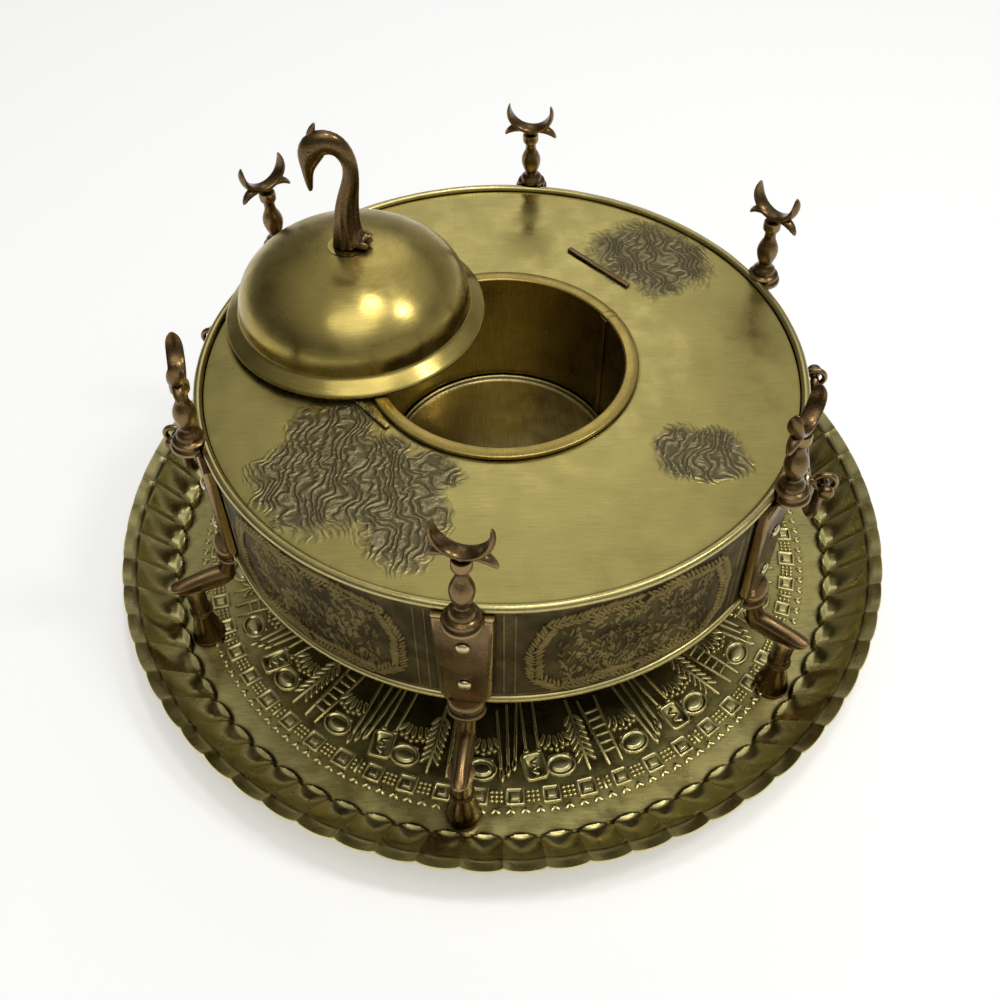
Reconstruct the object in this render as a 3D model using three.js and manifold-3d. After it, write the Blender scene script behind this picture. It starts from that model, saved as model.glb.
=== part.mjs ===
// Charcoal brazier on six cast legs, standing loose on a round fluted tray. Millimetres, +Z up.
// Origin: under the middle of the tray, on the surface the tray stands on.
import * as THREE from "three";
import { mergeVertices } from "three/addons/utils/BufferGeometryUtils.js";
import Module from "manifold-3d";

const wasm = await Module();
wasm.setup();

const GAP = 0.3; // between pieces that touch
const SHEET = 1.5;

const TRAY = { flutes: 68, floor: 259.6, start: 264, wall: 289, lip: 300, lipTop: 39, wallTop: 34 };

const DRUM = { bead: 210.3, beadR: 3.1, top: 195.1, bottom: 95.1, wall: 210.5, facets: 60 };
const PLATE = { top: 194.4, inner: 88.4, outer: 206.8, floor: 94.4 };

const POT = { outer: 87.8, flange: 95.8, top: 197.9, floor: 97.8, facets: 48 };

const LID = { x: -106.3, y: 50.6, edge: 94, bottom: 198.5, step: 85.3, stepTop: 208.4 };
const DOME = { radius: 83.2, height: 48, power: 2.2, rows: 6 };

const LEG = { count: 6, azimuth: -96.2, face: 217.5, back: 210.9, top: 191.7, bottom: 98.7 };
const FOOT = { r: 247, radius: 12.3, base: 1.8 };
const POST = { r: 218.6, base: 192 };
// How each post was fitted: [round the rim from its leg, lean inwards, lean sideways, turn of its crescent], degrees.
const POST_SET = [
  [0.2, 4.9, 0.6, -7.5],
  [1.9, 3.3, 0.7, -1.3],
  [1, 1.5, 0.4, 16.5],
  [-0.5, 6.5, 1.2, -3.7],
  [-0.8, -0.6, 1.6, -12.4],
  [-2.6, 4.4, -2.7, -7.8],
];
const RIVET = { z: [163.4, 122.2], head: 4.4, rise: 2.4, shank: 2.2 };

const HANDLE = { azimuths: [-7.45, 175.6], x: 228, y: 52, z: 156, drop: 1.2, ring: 7, bar: 2.1, shank: 2.9 };

const FINISH = {
  sheet: [0xa89a52, 0.38],
  polished: [0xb8a450, 0.3],
  embossed: [0x8c7f45, 0.45],
  tray: [0x948a52, 0.42],
  bronze: [0x6e4f38, 0.42],
  rivet: [0xb6a055, 0.35],
};

const part = new THREE.Group();

// ---- helpers -------------------------------------------------------------------------------

const v3 = (x, y, z) => new THREE.Vector3(x, y, z);
const rad = (deg) => (deg * Math.PI) / 180;
const move = (g, x, y, z) => g.translate(x, y, z);

// A closed geometry as a manifold solid that faces outwards.
function solid(geometry) {
  const bare = new THREE.BufferGeometry();
  bare.setAttribute("position", geometry.getAttribute("position"));
  bare.setIndex(geometry.index);
  const merged = mergeVertices(bare, 1e-4);
  const triVerts = new Uint32Array(merged.index.array);
  const vertProperties = merged.attributes.position.array;
  const made = new wasm.Manifold(new wasm.Mesh({ numProp: 3, vertProperties, triVerts }));
  if (made.volume() > 0) return made;
  for (let i = 0; i < triVerts.length; i += 3) {
    [triVerts[i + 1], triVerts[i + 2]] = [triVerts[i + 2], triVerts[i + 1]];
  }
  return new wasm.Manifold(new wasm.Mesh({ numProp: 3, vertProperties, triVerts }));
}

function geometryOf(made) {
  const mesh = made.getMesh();
  const g = new THREE.BufferGeometry();
  g.setAttribute("position", new THREE.BufferAttribute(new Float32Array(mesh.vertProperties), 3));
  g.setIndex(new THREE.BufferAttribute(new Uint32Array(mesh.triVerts), 1));
  return g;
}

const join = (...gs) => geometryOf(gs.map(solid).reduce((a, b) => a.add(b)));
const cut = (g, ...tools) => geometryOf(tools.map(solid).reduce((a, b) => a.subtract(b), solid(g)));

// Spins [radius, height] pairs round +Z.
function lathe(profile, facets) {
  const points = profile.map(([r, z]) => new THREE.Vector2(r, z));
  return new THREE.LatheGeometry(points, facets).rotateX(Math.PI / 2);
}

// Skins a row of equal rings of points and closes both ends.
function loft(rings) {
  const n = rings[0].length;
  const all = rings.flat();
  const index = [];
  rings.slice(1).forEach((_, k) => {
    for (let i = 0; i < n; i += 1) {
      const a = k * n + i;
      const b = k * n + ((i + 1) % n);
      index.push(a, b, b + n, a, b + n, a + n);
    }
  });
  const centre = (ring) => ring.reduce((s, p) => s.add(p), v3(0, 0, 0)).divideScalar(n);
  const first = all.push(centre(rings[0])) - 1;
  const last = all.push(centre(rings[rings.length - 1])) - 1;
  const end = (rings.length - 1) * n;
  for (let i = 0; i < n; i += 1) {
    const j = (i + 1) % n;
    index.push(first, j, i, last, end + i, end + j);
  }
  const g = new THREE.BufferGeometry();
  g.setAttribute("position", new THREE.Float32BufferAttribute(all.flatMap((p) => p.toArray()), 3));
  g.setIndex(index);
  return g;
}

// Sweeps an ellipse along [point, half size in the path's plane, half size across it] stations.
function sweep(stations, across, sides) {
  const rings = stations.map(([p, a, b], k) => {
    const before = stations[Math.max(k - 1, 0)][0];
    const after = stations[Math.min(k + 1, stations.length - 1)][0];
    const along = after.clone().sub(before).normalize();
    const inPlane = across.clone().cross(along).normalize();
    return [...Array(sides).keys()].map((i) => {
      const t = (2 * Math.PI * i) / sides;
      return p
        .clone()
        .addScaledVector(inPlane, a * Math.cos(t))
        .addScaledVector(across, b * Math.sin(t));
    });
  });
  return loft(rings);
}

// Adds a piece to the part, turned round the drum's axis when an azimuth is given.
function add(name, geometry, [color, roughness], azimuth = 0) {
  const material = new THREE.MeshStandardMaterial({ color, roughness, metalness: 1 });
  const mesh = new THREE.Mesh(geometry, material);
  mesh.name = name;
  mesh.rotation.z = rad(azimuth);
  part.add(mesh);
}

// A rod of the given radius from x0 to x1, parallel to X.
function rodX(radius, x0, x1, y, z, facets = 8) {
  const g = new THREE.CylinderGeometry(radius, radius, x1 - x0, facets).rotateZ(Math.PI / 2);
  return move(g, (x0 + x1) / 2, y, z);
}

// ---- tray: pressed sheet with a fluted wall and a wavy lip -----------------------------------

function trayGeometry() {
  const count = TRAY.flutes * 2;
  const rows = [
    // [crest radius, crest height, hollow radius, hollow height, sheet offset r, sheet offset z]
    [TRAY.floor, SHEET, TRAY.floor, SHEET, 0, -SHEET],
    [TRAY.start, 6, TRAY.start - 0.5, SHEET + 0.4, 0.8, -1.3],
    [276, 18, 277, 12.5, 1.1, -1],
    [TRAY.wall, TRAY.wallTop + 0.5, TRAY.wall, TRAY.wallTop - 2.5, 0.9, -1.2],
    [TRAY.lip - 1.5, TRAY.lipTop + 1, TRAY.lip, TRAY.lipTop - 1, 0.3, -1.45],
  ];
  const points = [v3(0, 0, SHEET), v3(0, 0, 0)];
  for (const side of [0, 1]) {
    for (const [rc, zc, rh, zh, dr, dz] of rows) {
      for (let i = 0; i < count; i += 1) {
        const crest = i % 2 === 0;
        const r = (crest ? rc : rh) + side * dr;
        const t = (2 * Math.PI * i) / count;
        points.push(v3(r * Math.cos(t), r * Math.sin(t), (crest ? zc : zh) + side * dz));
      }
    }
  }
  const at = (side, row, i) => 2 + (side * rows.length + row) * count + (i % count);
  const index = [];
  const quad = (a, b, c, d) => index.push(a, b, c, a, c, d);
  for (let i = 0; i < count; i += 1) {
    index.push(0, at(0, 0, i), at(0, 0, i + 1));
    index.push(1, at(1, 0, i + 1), at(1, 0, i));
    for (let k = 0; k < rows.length - 1; k += 1) {
      quad(at(0, k, i), at(0, k + 1, i), at(0, k + 1, i + 1), at(0, k, i + 1));
      quad(at(1, k, i), at(1, k, i + 1), at(1, k + 1, i + 1), at(1, k + 1, i));
    }
    const edge = rows.length - 1;
    quad(at(0, edge, i), at(1, edge, i), at(1, edge, i + 1), at(0, edge, i + 1));
  }
  const g = new THREE.BufferGeometry();
  g.setAttribute("position", new THREE.Float32BufferAttribute(points.flatMap((p) => p.toArray()), 3));
  g.setIndex(index);
  return g;
}

add("tray", trayGeometry(), FINISH.tray);

// ---- drum: embossed wall between two wired beads, annular top plate, closed bottom -----------

const legAzimuth = (k) => LEG.azimuth + (360 / LEG.count) * k;
const eyeSpots = HANDLE.azimuths.flatMap((az) => [
  [az, -HANDLE.y],
  [az, HANDLE.y],
]);

function drumWall() {
  const low = DRUM.bottom + DRUM.beadR + GAP;
  const high = DRUM.top - DRUM.beadR - GAP;
  const inner = DRUM.wall - SHEET;
  const ring = [[inner, low], [DRUM.wall, low], [DRUM.wall, high], [inner, high], [inner, low]];
  const holes = [];
  for (let k = 0; k < LEG.count; k += 1) {
    for (const z of RIVET.z) {
      holes.push(rodX(RIVET.shank + GAP, 200, 215, 0, z).rotateZ(rad(legAzimuth(k))));
    }
  }
  for (const [az, y] of eyeSpots) {
    holes.push(rodX(HANDLE.shank + GAP, 190, 215, y, HANDLE.z).rotateZ(rad(az)));
  }
  return cut(lathe(ring, DRUM.facets), ...holes);
}

function beadRing(z) {
  return move(new THREE.TorusGeometry(DRUM.bead, DRUM.beadR, 6, DRUM.facets), 0, 0, z);
}

function flatRing(inner, outer, low, high) {
  return lathe([[inner, low], [outer, low], [outer, high], [inner, high], [inner, low]], DRUM.facets);
}

add("drum_wall", drumWall(), FINISH.embossed);
add("top_rim", beadRing(DRUM.top), FINISH.sheet);
add("bottom_rim", beadRing(DRUM.bottom), FINISH.sheet);
add("top_plate", flatRing(PLATE.inner, PLATE.outer, PLATE.top - SHEET, PLATE.top), FINISH.sheet);
const floorTop = PLATE.floor + SHEET;
add(
  "bottom_plate",
  lathe([[0, PLATE.floor], [PLATE.outer, PLATE.floor], [PLATE.outer, floorTop], [0, floorTop]], DRUM.facets),
  FINISH.sheet,
);

// Two narrow raised strips on the top plate, each [x, y] to [x, y] from the drum's axis.
const STRIPS = [
  [52.9, 126.8, 95.3, 80.8],
  [-100.5, -38.5, -75.5, -66],
];
STRIPS.forEach(([x0, y0, x1, y1], k) => {
  const bar = new THREE.BoxGeometry(Math.hypot(x1 - x0, y1 - y0), 4, 2);
  bar.rotateZ(Math.atan2(y1 - y0, x1 - x0));
  move(bar, (x0 + x1) / 2, (y0 + y1) / 2, PLATE.top + GAP + 1);
  add("plate_strip_" + (k + 1), bar, FINISH.bronze);
});

// ---- fire pot: rolled sleeve with a turned-out flange, and its dished floor ------------------

const potInner = POT.outer - SHEET;
const potWall = [
  [potInner, POT.floor - SHEET],
  [POT.outer, POT.floor - SHEET],
  [POT.outer, POT.top - 2.6],
  [POT.outer + 1, POT.top - SHEET],
  [POT.flange - SHEET, POT.top - SHEET],
  [POT.flange - SHEET, PLATE.top + GAP],
  [POT.flange, PLATE.top + GAP],
  [POT.flange, POT.top - 0.5],
  [POT.flange - 0.6, POT.top],
  [potInner + 1, POT.top],
  [potInner, POT.top - 1],
  [potInner, POT.floor - SHEET],
];
const potFloor = [
  [0, POT.floor - SHEET],
  [potInner - GAP, POT.floor - SHEET],
  [potInner - GAP, POT.floor + 2.2],
  [potInner - 1.6, POT.floor + 3],
  [potInner - 3, POT.floor + 2],
  [potInner - 3.6, POT.floor],
  [0, POT.floor],
];
add("pot_wall", lathe(potWall, POT.facets), FINISH.polished);
add("pot_floor", lathe(potFloor, POT.facets), FINISH.sheet);

// ---- lid: domed sheet, set down off the middle, with its cast swan handle --------------------

const domeFoot = LID.stepTop + 0.5;
const domeAt = (t, off) => [
  (DOME.radius - off) * (1 - t ** DOME.power) ** (1 / DOME.power),
  domeFoot + (DOME.height - off) * t,
];
const domeStations = [...Array(DOME.rows).keys()].map((k) => Math.sin((Math.PI / 2) * (k / DOME.rows)));

function lidGeometry() {
  const outside = [
    [LID.edge, LID.bottom],
    [LID.edge, LID.bottom + SHEET],
    [LID.edge - 3, LID.bottom + 2.6],
    [LID.step, LID.stepTop],
    ...domeStations.map((t) => domeAt(t, 0)),
    [12, domeFoot + DOME.height],
    [4.3, domeFoot + DOME.height],
  ];
  const inside = [
    [4.3, domeFoot + DOME.height - SHEET],
    [12, domeFoot + DOME.height - SHEET],
    ...domeStations.map((t) => domeAt(t, SHEET)).reverse(),
    [LID.step - SHEET, LID.stepTop - SHEET - 0.6],
    [LID.edge - 3.4, LID.bottom],
    [LID.edge, LID.bottom],
  ];
  return lathe([...outside, ...inside], 40);
}

// Swan in side view: [forward, height, half depth, half breadth], from the feathered foot to the crown.
const NECK = [
  [-3, -1.5, 15, 8.8],
  [-2.4, 3, 13.4, 8.5],
  [-1.2, 8.5, 10.4, 7.8],
  [-1, 18, 8.6, 7.2],
  [-2.1, 29.5, 8, 6.6],
  [-4.8, 41.5, 6.7, 6],
  [-7.9, 52.5, 5.5, 5.3],
  [-8.4, 63, 5.1, 4.9],
  [-5.9, 72, 5.3, 4.9],
  [-1.8, 78.6, 5.8, 5],
  [3.7, 81, 6.5, 5.3],
  [9.6, 81.2, 7.3, 5.9],
  [14.8, 78.2, 8, 6.2],
  [17.8, 71.8, 7.2, 5.6],
  [19.4, 65, 5, 4.4],
  [20.2, 54.5, 3, 3.3],
  [19.8, 43, 1.4, 2],
];

function swanGeometry() {
  const top = domeFoot + DOME.height;
  const body = sweep(
    NECK.map(([f, h, a, b]) => [v3(-f, 0, top + h), a, b]),
    v3(0, 1, 0),
    10,
  );
  const crest = sweep(
    [[v3(-14.5, 0, top + 82.5), 3, 1.8], [v3(-13, 0, top + 89), 2.4, 1.5], [v3(-11, 0, top + 93.5), 0.9, 0.8]],
    v3(0, 1, 0),
    6,
  );
  const below = move(new THREE.BoxGeometry(60, 60, 20), 0, 0, top + GAP - 10);
  return cut(join(body, crest), below);
}

function placeOnLid(geometry) {
  return move(geometry, LID.x, LID.y, 0);
}

const lidTop = domeFoot + DOME.height;
const washer = [
  [4.3, lidTop - SHEET - GAP - 1.6],
  [11, lidTop - SHEET - GAP - 1.6],
  [11, lidTop - SHEET - GAP],
  [4.3, lidTop - SHEET - GAP],
  [4.3, lidTop - SHEET - GAP - 1.6],
];
const screw = [
  [0, lidTop - 9.5],
  [5, lidTop - 9.5],
  [7, lidTop - 7.6],
  [7, lidTop - SHEET - 2 * GAP - 1.6],
  [3.9, lidTop - SHEET - 2 * GAP - 1.6],
  [3.9, lidTop],
  [0, lidTop],
];
add("lid_dome", placeOnLid(lidGeometry()), FINISH.polished);
add("lid_swan", placeOnLid(swanGeometry()), FINISH.bronze);
add("lid_washer", placeOnLid(lathe(washer, 16)), FINISH.rivet);
add("lid_screw", placeOnLid(lathe(screw, 12)), FINISH.rivet);

// ---- legs: one casting each; X is outward and Y along the wall in these frames ---------------

function legPlate() {
  const shape = new THREE.Shape();
  const outline = [
    [-18.6, LEG.top],
    [-18.6, LEG.top - 14],
    [-16.6, LEG.bottom + 9],
    [-13, LEG.bottom],
    [13, LEG.bottom],
    [16.6, LEG.bottom + 9],
    [18.6, LEG.top - 14],
    [18.6, LEG.top],
  ];
  outline.forEach(([y, z], k) => (k ? shape.lineTo(y, z) : shape.moveTo(y, z)));
  for (const z of RIVET.z) {
    const hole = new THREE.Path();
    hole.absellipse(0, z, RIVET.shank + GAP, RIVET.shank + GAP, 0, 2 * Math.PI);
    shape.holes.push(hole);
  }
  const depth = LEG.face - LEG.back;
  const g = new THREE.ExtrudeGeometry(shape, { depth, bevelEnabled: false, curveSegments: 5 });
  const turn = new THREE.Matrix4().makeBasis(v3(0, 1, 0), v3(0, 0, 1), v3(1, 0, 0));
  return move(g.applyMatrix4(turn), LEG.back, 0, 0);
}

function legCasting() {
  const front = DRUM.bead + DRUM.beadR + GAP + 0.2;
  const collar = move(
    lathe([[0, 86.9], [12.5, 88], [13.2, 90], [11, 92.4], [12.4, 96.8], [10.4, 101.3], [0, 102.3]], 12).scale(0.55, 1, 1),
    front + 1.5,
    0,
    0,
  );
  const behind = move(new THREE.BoxGeometry(40, 60, 60), front - 20, 0, 76);
  const neck = sweep(
    [
      [v3(front + 3.5, 0, 92.3), 4.6, 7],
      [v3(front + 4.5, 0, 80), 5, 6.4],
      [v3(front + 8, 0, 68), 7, 6.4],
      [v3(front + 12, 0, 61), 4, 4.6],
    ],
    v3(0, 1, 0),
    6,
  );
  const arm = sweep(
    [
      [v3(front + 2, 0, 68), 4, 4],
      [v3(front + 8, 0, 67), 8.5, 7],
      [v3(front + 22, 0, 65.7), 9.2, 6.7],
      [v3(front + 35, 0, 65.2), 8.5, 6.3],
      [v3(front + 43, 0, 67), 5.4, 5.6],
      [v3(front + 48, 0, 69), 1.6, 3.4],
    ],
    v3(0, 1, 0),
    8,
  );
  const column = move(
    lathe(
      [
        [0, FOOT.base],
        [FOOT.radius, FOOT.base],
        [FOOT.radius, 4.6],
        [9.6, 9],
        [7.3, 20],
        [6.9, 31.5],
        [8.3, 33],
        [8.3, 35.5],
        [6.9, 37],
        [7.1, 52],
        [9, 64],
        [0, 65],
      ],
      10,
    ),
    FOOT.r,
    0,
    0,
  );
  const lower = cut(join(collar, neck, arm, column), behind);
  return join(legPlate(), lower);
}

// Turned post: [radius, height above its base]; the base steps are flat against the drum's rim.
const POST_PROFILE = [
  [0, 0],
  [12.8, 0],
  [12.8, 3],
  [11.2, 4.2],
  [11.2, 7.2],
  [8.4, 8.4],
  [8.4, 12.2],
  [4.6, 16],
  [6, 20],
  [7.8, 28],
  [6, 35],
  [4.2, 39.5],
  [4.2, 45.5],
  [6.2, 47.5],
  [6.2, 53.5],
  [0, 54.6],
];

// Stands a piece made about +Z on the rim, with the post's own lean.
function atPost(geometry, inwards, sideways) {
  return move(geometry.rotateY(-rad(inwards)).rotateX(-rad(sideways)), POST.r, 0, POST.base);
}

function postGeometry(inwards, sideways) {
  const turned = atPost(lathe(POST_PROFILE, 10), inwards, sideways);
  const rim = 2 * (DRUM.top + DRUM.beadR + GAP - POST.base);
  const inside = move(new THREE.BoxGeometry(40, 60, rim), DRUM.bead + DRUM.beadR + 2 * GAP - 20, 0, POST.base);
  const below = move(new THREE.BoxGeometry(60, 60, 10), POST.r, 0, LEG.top + GAP - 5);
  return cut(turned, inside, below);
}

// Crescent and its two drooping leaves, in the plane of Y and Z, above the post's foot.
function crescentGeometry() {
  const arc = [...Array(11).keys()].map((k) => {
    const t = rad(-198 + (216 * k) / 10);
    const u = Math.abs(k / 5 - 1);
    const thick = 3.4 * Math.cos((Math.PI / 2) * u ** 1.8) + 0.4;
    const wide = 4.6 * Math.cos((Math.PI / 2) * u ** 4) + 1;
    return [v3(0, 16.6 * Math.cos(t), 76 + 16.6 * Math.sin(t)), thick, wide];
  });
  const leaf = (side) => [
    [v3(0, 4 * side, 58.8), 2.4, 4],
    [v3(0, 12 * side, 59.4), 3.2, 4.2],
    [v3(0, 17.5 * side, 56.6), 2.6, 3.4],
    [v3(0, 20.8 * side, 51.6), 0.8, 1.2],
  ];
  const outward = v3(1, 0, 0);
  const pieces = [sweep(arc, outward, 6), sweep(leaf(1), outward, 6), sweep(leaf(-1), outward, 6)];
  const below = move(new THREE.BoxGeometry(16, 16, 20), 0, 0, 54.6 + GAP - 10);
  return cut(join(...pieces), below);
}

function rivetGeometry(z) {
  const shape = [
    [0, DRUM.wall - SHEET - GAP - 1.2],
    [3.6, DRUM.wall - SHEET - GAP - 1.2],
    [3.6, DRUM.wall - SHEET - GAP],
    [RIVET.shank, DRUM.wall - SHEET - GAP],
    [RIVET.shank, LEG.face + GAP],
    [RIVET.head, LEG.face + GAP],
    [RIVET.head * 0.75, LEG.face + GAP + RIVET.rise * 0.7],
    [0, LEG.face + GAP + RIVET.rise],
  ];
  return move(lathe(shape, 6).rotateY(Math.PI / 2), 0, 0, z);
}

for (let k = 0; k < LEG.count; k += 1) {
  const az = legAzimuth(k);
  const n = k + 1;
  add("leg_" + n, legCasting(), FINISH.bronze, az);
  const [round, inwards, sideways, turn] = POST_SET[k];
  add("post_" + n, postGeometry(inwards, sideways), FINISH.bronze, az + round);
  const crescent = crescentGeometry().rotateZ(rad(turn));
  add("crescent_" + n, atPost(crescent, inwards, sideways), FINISH.bronze, az + round);
  RIVET.z.forEach((z, j) => add(`rivet_${n}_${j + 1}`, rivetGeometry(z), FINISH.rivet, az));
}

// ---- drop handles: two eyebolts and one bail on each side ------------------------------------

function eyeGeometry(y) {
  const ring = new THREE.TorusGeometry(HANDLE.ring, HANDLE.bar, 5, 12).rotateX(Math.PI / 2);
  move(ring, HANDLE.x, y, HANDLE.z);
  const shank = rodX(HANDLE.shank, 194.4, HANDLE.x - HANDLE.ring + 1, y, HANDLE.z, 8);
  const boss = rodX(4.6, 205.6, 214, y, HANDLE.z, 8);
  const collar = rodX(6, 213, 216.4, y, HANDLE.z, 10);
  return join(ring, shank, boss, collar);
}

function nutGeometry(y) {
  const nut = rodX(5.6, 196, 200.2, y, HANDLE.z, 6);
  return cut(nut, rodX(HANDLE.shank + GAP, 190, 210, y, HANDLE.z, 8));
}

function bailGeometry() {
  const pivot = HANDLE.z - HANDLE.drop;
  const side = [
    [0, -51.8, 4.7, 4.7],
    [24, -51.3, 4.6, 4.6],
    [38, -47.5, 4.3, 4.3],
    [44.5, -39, 4.1, 4.1],
    [45.5, -24, 3.8, 3.8],
    [45.5, -9, 3.6, 3.6],
    [47.2, -2.2, 3.4, 3.4],
    [52, 0, 3.2, 3.2],
    [56, 0, 3.4, 3.4],
    [58, 0, 5.4, 5.4],
    [61.5, 0, 5.6, 5.6],
    [64, 0, 3.4, 3.4],
  ];
  const left = side
    .slice(1)
    .reverse()
    .map(([y, z, a, b]) => [v3(HANDLE.x, -y, pivot + z), a, b]);
  const right = side.map(([y, z, a, b]) => [v3(HANDLE.x, y, pivot + z), a, b]);
  return sweep([...left, ...right], v3(1, 0, 0), 6);
}

HANDLE.azimuths.forEach((az, k) => {
  const tag = k ? "left" : "right";
  [-HANDLE.y, HANDLE.y].forEach((y, j) => {
    add(`eye_${tag}_${j + 1}`, eyeGeometry(y), FINISH.bronze, az);
    add(`eye_nut_${tag}_${j + 1}`, nutGeometry(y), FINISH.rivet, az);
  });
  add("bail_" + tag, bailGeometry(), FINISH.bronze, az);
});

export default part;
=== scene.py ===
import math
import random

import bmesh
import bpy
from mathutils import Euler, Matrix, Vector, noise


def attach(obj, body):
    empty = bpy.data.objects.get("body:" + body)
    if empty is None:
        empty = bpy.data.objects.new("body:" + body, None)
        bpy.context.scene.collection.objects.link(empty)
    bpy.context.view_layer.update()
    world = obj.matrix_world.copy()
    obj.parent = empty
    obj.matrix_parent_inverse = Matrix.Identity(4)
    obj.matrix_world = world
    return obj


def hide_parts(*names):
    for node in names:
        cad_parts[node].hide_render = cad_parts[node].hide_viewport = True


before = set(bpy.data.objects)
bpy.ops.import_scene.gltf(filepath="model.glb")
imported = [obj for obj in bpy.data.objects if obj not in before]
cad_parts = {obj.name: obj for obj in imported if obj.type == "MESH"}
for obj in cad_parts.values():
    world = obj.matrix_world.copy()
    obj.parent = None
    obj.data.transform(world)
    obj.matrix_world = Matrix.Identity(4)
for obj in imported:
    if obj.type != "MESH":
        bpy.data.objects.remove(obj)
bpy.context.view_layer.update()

# ---- Camera and studio ----------------------------------------------------------------------
# The brazier is looked down on from close by, on a plain white paper sweep. Two small soft lamps
# hang to its right, one high and one lower, with two wide panels and a pale sky to fill in.

camera = bpy.data.objects.new("camera", bpy.data.cameras.new("camera"))
bpy.context.scene.collection.objects.link(camera)
camera.data.sensor_width = 36
camera.data.lens = 38.93
camera.data.shift_x = -0.0020
camera.data.shift_y = -0.0446
camera.data.clip_end = 50
camera.location = (0, -0.5630, 0.7102)
camera.rotation_euler = Euler((math.radians(90 - 47.531), 0, 0))
camera.rotation_euler.rotate_axis("Z", math.radians(-0.1743))
bpy.context.scene.camera = camera
bpy.context.scene.view_settings.view_transform = "Standard"


def add_node(material, kind, values=(), **settings):
    """A shader node with its settings, and with sockets or constants on its named inputs."""
    made = material.node_tree.nodes.new("ShaderNode" + kind)
    for key, value in settings.items():
        setattr(made, key, value)
    for key, value in dict(values).items():
        if isinstance(value, bpy.types.NodeSocket):
            material.node_tree.links.new(value, made.inputs[key])
        else:
            made.inputs[key].default_value = value
    return made


def lamp(name, azimuth, height, distance, size, power):
    """A round soft lamp seen from the brazier at this azimuth and height in degrees."""
    data = bpy.data.lights.new(name, "AREA")
    data.shape = "DISK"
    data.size = size
    data.energy = power
    made = bpy.data.objects.new(name, data)
    bpy.context.scene.collection.objects.link(made)
    a, h = math.radians(azimuth), math.radians(height)
    away = Vector((math.cos(a) * math.cos(h), math.sin(a) * math.cos(h), math.sin(h)))
    made.location = away * distance + Vector((0, 0, 0.2))
    made.rotation_euler = away.to_track_quat("Z", "Y").to_euler()


lamp("lamp_behind", 12, 83, 2.4, 0.40, 8)
lamp("lamp_right", -6, 58, 2.4, 0.40, 9)
lamp("panel_behind", 90, 40, 2.8, 1.3, 3.4)
lamp("panel_over_camera", -95, 70, 2.8, 1.8, 11)

world = bpy.data.worlds.new("studio")
bpy.context.scene.world = world
world.use_nodes = True
sky = world.node_tree.nodes["Background"]
way = add_node(world, "TexCoord").outputs["Generated"]
tall = add_node(world, "SeparateXYZ", {"Vector": way}).outputs["Z"]
shade = add_node(world, "ValToRGB", {"Fac": tall})
shade.color_ramp.elements[0].position = 0.0
shade.color_ramp.elements[0].color = (0.46, 0.46, 0.44, 1)
shade.color_ramp.elements[1].position = 0.85
shade.color_ramp.elements[1].color = (0.70, 0.70, 0.68, 1)
middle = shade.color_ramp.elements.new(0.45)
middle.color = (0.215, 0.21, 0.20, 1)
across = add_node(world, "SeparateXYZ", {"Vector": way}).outputs["X"]
left_dim = add_node(world, "MapRange", {0: across, 1: -0.75, 2: 0.25, 3: 0.38, 4: 1.0}).outputs[0]
dimmed = add_node(world, "VectorMath", {0: shade.outputs["Color"], "Scale": left_dim}, operation="SCALE")
world.node_tree.links.new(dimmed.outputs[0], sky.inputs["Color"])

sweep = bmesh.new()
bmesh.ops.create_grid(sweep, x_segments=1, y_segments=1, size=8)
floor_mesh = bpy.data.meshes.new("floor")
sweep.to_mesh(floor_mesh)
sweep.free()
floor = bpy.data.objects.new("floor", floor_mesh)
bpy.context.scene.collection.objects.link(floor)
paper = bpy.data.materials.new("paper_sweep")
paper.use_nodes = True
matt_white = paper.node_tree.nodes["Principled BSDF"].inputs
matt_white["Base Color"].default_value = (0.93, 0.93, 0.93, 1)
matt_white["Roughness"].default_value = 0.9
matt_white["Emission Color"].default_value = (1, 1, 1, 1)
matt_white["Emission Strength"].default_value = 0.3
floor_mesh.materials.append(paper)

# ---- Tray -----------------------------------------------------------------------------------
# A round tray pressed from one sheet of brass: a flat floor chased with a frieze of squares, urns
# and reeds, a wall of scooped flutes, and a wavy lip. Shade at the scoops is painted dark.

MM = 0.001
FLUTES = 68
FLOOR_TOP, TRAY_SHEET = 1.5, 1.2
ARCH_R, ARCH_SWING = 261.4, 5      # the scoops' inner arches, and how far they swing out
STEP_BEFORE, STEP_RUN = 1.4, 2.0   # the short steep step up into each scoop
WALL_TOP_R, LIP_R, LIP_RUN, LIP_WAVE = 290, 292, 8, 1.5
TRAY_ROWS = [0, 90, 150, 200, 240, 254, 258.4, 259.6, 260.3, 261, 261.8, 262.6, 263.5, 264.5, 265.6,
             266.8, 268, 269.6, 272, 275, 278, 281, 284, 286.4, 288, 289, 290, 291.6, 294, 296.5,
             298.4, 299.5]
CREST = [(0, 7.5), (264, 7.5), (268, 11), (276, 20), (289, 35), (292, 35.8), (300, 40)]
HOLLOW = [(0, 6.6), (262, 6.6), (266, 6.2), (272, 8), (277, 12), (284, 21), (289, 31.2),
          (291, 33.4), (300, 38)]


def along(table, x):
    """The height that a table of (place, height) gives at x, in straight runs."""
    for (x0, y0), (x1, y1) in zip(table, table[1:]):
        if x <= x1:
            return y0 + (y1 - y0) * (x - x0) / (x1 - x0)
    return table[-1][1]


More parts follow.
